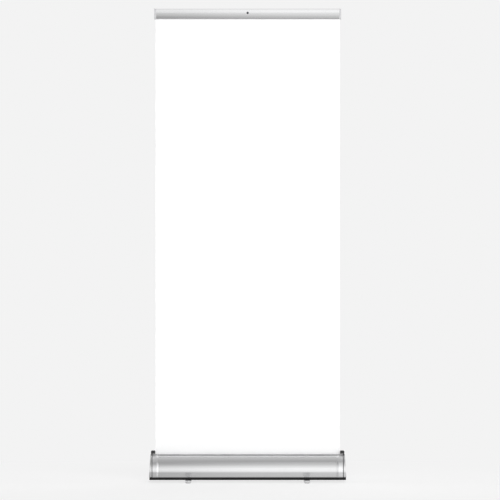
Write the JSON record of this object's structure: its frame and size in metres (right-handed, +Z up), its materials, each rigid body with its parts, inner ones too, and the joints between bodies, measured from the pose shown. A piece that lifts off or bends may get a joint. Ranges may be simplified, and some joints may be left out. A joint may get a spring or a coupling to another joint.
{
  "type": "roll-up banner stand",
  "caption": "Freestanding roll-up banner stand: a plain sheet rises from a spring-roller cassette on swing-out feet to a rounded top rail carried by a telescopic pole.",
  "frame": {"origin": "on the floor, under the middle of the stand's outer box", "axes": "+Z up, +X along the width to the right as seen from the front, the banner's printed face looks along -Y"},
  "size_m": [0.9088, 0.34, 2.1815],
  "materials": {
    "aluminium": "satin anodised, drawn grain along the extrusion",
    "polished": "polished",
    "steel": "zinc plated",
    "black_steel": "black oxide",
    "black_plastic": "fine moulded grain",
    "grey_plastic": "fine moulded grain",
    "white_plastic": "smooth",
    "rubber": "matt",
    "banner_film": "matt white coated film"
  },
  "bodies": {
    "base": {"base_shell": "aluminium", "base_plate": "black_plastic", "front_slot_trim": "grey_plastic", "rear_slot_trim": "grey_plastic", "left_collar": "polished", "right_collar": "polished", "left_end_plate": "black_plastic", "right_end_plate": "black_plastic", "left_end_cap": "aluminium", "right_end_cap": "aluminium", "left_cap_screw_upper": "steel", "left_cap_screw_lower": "steel", "right_cap_screw_upper": "steel", "right_cap_screw_lower": "steel", "roller_axle": "steel", "axle_retaining_ring": "black_steel", "pole_socket": "black_plastic", "left_socket_screw": "steel", "right_socket_screw": "steel", "pole_lower_tube": "aluminium", "pole_foot_plug": "black_plastic", "left_foot_bolt": "steel", "right_foot_bolt": "steel", "left_foot_nut": "steel", "right_foot_nut": "steel"},
    "roller": {"roller_tube": "aluminium", "left_roller_plug": "black_plastic", "right_roller_plug": "black_plastic", "winding_spring": "steel", "banner_roll": "banner_film"},
    "rail": {"rail_profile": "aluminium", "left_rail_cap": "grey_plastic", "right_rail_cap": "grey_plastic", "banner_sheet": "banner_film", "banner_keeper": "white_plastic", "pole_catch": "black_plastic", "catch_screw": "black_steel", "catch_nut": "steel"},
    "pole_middle": {"pole_middle_tube": "aluminium", "middle_bush": "black_plastic"},
    "pole_top": {"pole_top_tube": "aluminium", "top_bush": "black_plastic", "pole_tip": "black_plastic"},
    "lower_lock": {"lower_lock_collar": "black_plastic"},
    "upper_lock": {"upper_lock_collar": "black_plastic"},
    "left_foot": {"left_foot_bar": "aluminium", "left_foot_front_pad": "rubber", "left_foot_rear_pad": "rubber"},
    "right_foot": {"right_foot_bar": "aluminium", "right_foot_front_pad": "rubber", "right_foot_rear_pad": "rubber"}
  },
  "joints": [
    {"name": "rail_lift", "type": "slide", "parent": "base", "child": "rail", "axis": [0, 0, 1], "range_m": [-1.22, 0], "deforming": ["banner_sheet"]},
    {"name": "roller_spin", "type": "hinge", "parent": "base", "child": "roller", "pos_m": [0, -0.019, 0.062], "axis": [1, 0, 0], "range_deg": [-3700, 0]},
    {"name": "pole_middle_slide", "type": "slide", "parent": "base", "child": "pole_middle", "axis": [0, 0, 1], "range_m": [-0.611, 0]},
    {"name": "pole_top_slide", "type": "slide", "parent": "pole_middle", "child": "pole_top", "axis": [0, 0, 1], "range_m": [-0.611, 0]},
    {"name": "lower_lock_twist", "type": "hinge", "parent": "base", "child": "lower_lock", "pos_m": [0, 0.031, 0.775], "axis": [0, 0, 1], "range_deg": [0, 90]},
    {"name": "upper_lock_twist", "type": "hinge", "parent": "pole_middle", "child": "upper_lock", "pos_m": [0, 0.031, 1.45], "axis": [0, 0, 1], "range_deg": [0, 90]},
    {"name": "left_foot_swing", "type": "hinge", "parent": "base", "child": "left_foot", "pos_m": [-0.273, 0, 0.0093], "axis": [0, 0, 1], "range_deg": [0, 90]},
    {"name": "right_foot_swing", "type": "hinge", "parent": "base", "child": "right_foot", "pos_m": [0.273, 0, 0.0093], "axis": [0, 0, 1], "range_deg": [-90, 0]}
  ],
  "couplings": [
    {"joint": "roller_spin", "follows": "rail_lift", "rad_per_m": 52.632},
    {"joint": "pole_middle_slide", "follows": "rail_lift", "ratio": 0.5},
    {"joint": "pole_top_slide", "follows": "rail_lift", "ratio": 0.5}
  ]
}
